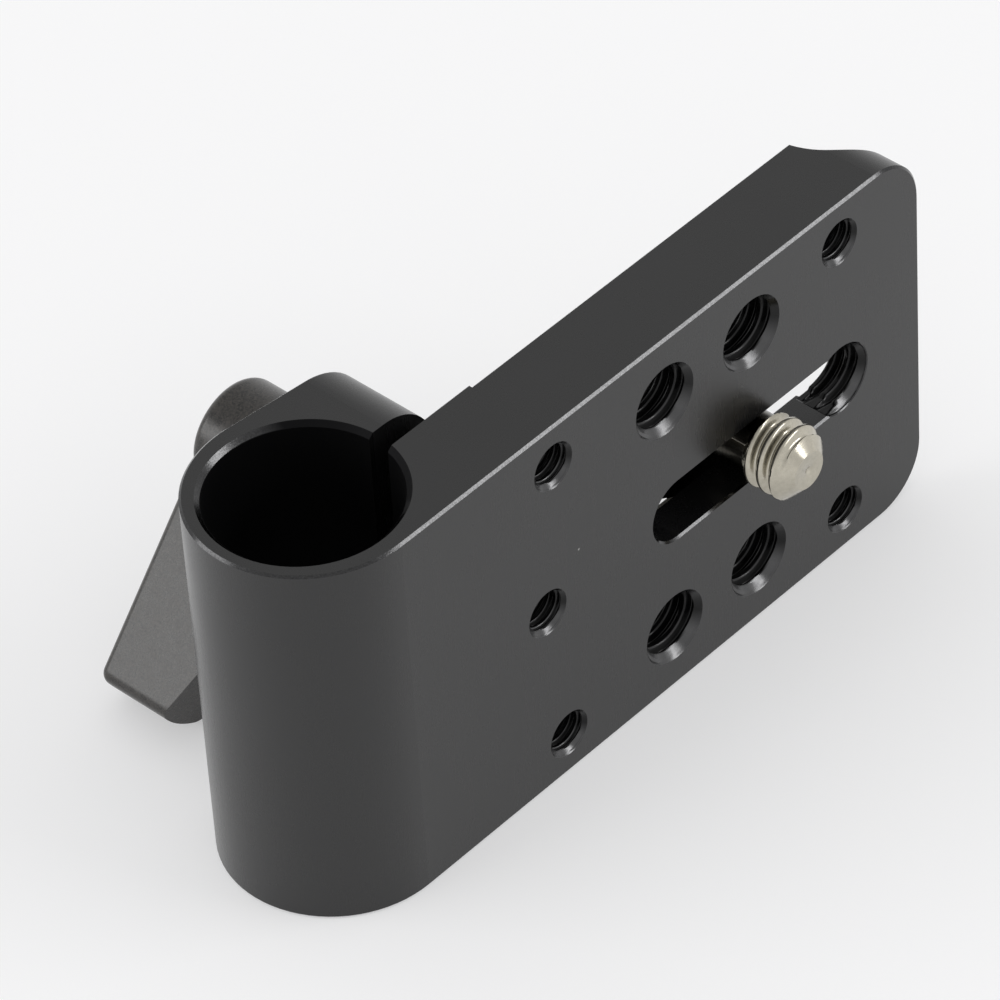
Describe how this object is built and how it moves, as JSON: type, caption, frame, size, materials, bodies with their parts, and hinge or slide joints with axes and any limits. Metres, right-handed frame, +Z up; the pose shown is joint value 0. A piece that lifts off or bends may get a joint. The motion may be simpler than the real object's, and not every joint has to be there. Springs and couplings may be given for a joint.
{
  "type": "rod clamp cheese plate",
  "caption": "Split 15 mm rod clamp with a ratchet lever, carrying a flat plate of tapped holes and a slot with a captive camera screw.",
  "frame": {"origin": "on the axis of the rod bore, at the clamp's bottom face, which it stands on", "axes": "+X along the plate to its far end, +Y from the plate's front face toward the lever, +Z up along the rod"},
  "size_m": [0.0673, 0.0378, 0.035],
  "materials": {
    "black_aluminium": "black anodised over fine blasting, bright where edges are worn",
    "steel": "plain turned steel",
    "black_cast_metal": "black powder coat on a die-casting, fine speckle",
    "black_steel": "black oxide, satin",
    "plated_screw": "warm silver plating, rolled thread"
  },
  "bodies": {
    "clamp": {"clamp_plate": "black_aluminium", "thrust_washer": "steel"},
    "stud": {"lever_stud": "steel", "lever_screw": "black_steel", "lever_spring": "steel"},
    "handle": {"lever_handle": "black_cast_metal"},
    "captive_screw": {"camera_screw": "plated_screw"}
  },
  "joints": [
    {"name": "lever_turn", "type": "hinge", "parent": "clamp", "child": "stud", "pos_m": [0.015, 0, 0.0175], "axis": [0, 1, 0], "range_deg": [-180, 180]},
    {"name": "handle_lift", "type": "slide", "parent": "stud", "child": "handle", "axis": [0, 1, 0], "range_m": [0, 0.0026], "stiffness_N_per_m": 600, "springref_m": -0.003, "deforming": ["lever_spring"]},
    {"name": "camera_screw_slide", "type": "slide", "parent": "clamp", "child": "captive_screw", "axis": [1, 0, 0], "range_m": [-0.00955, 0.0095]}
  ]
}
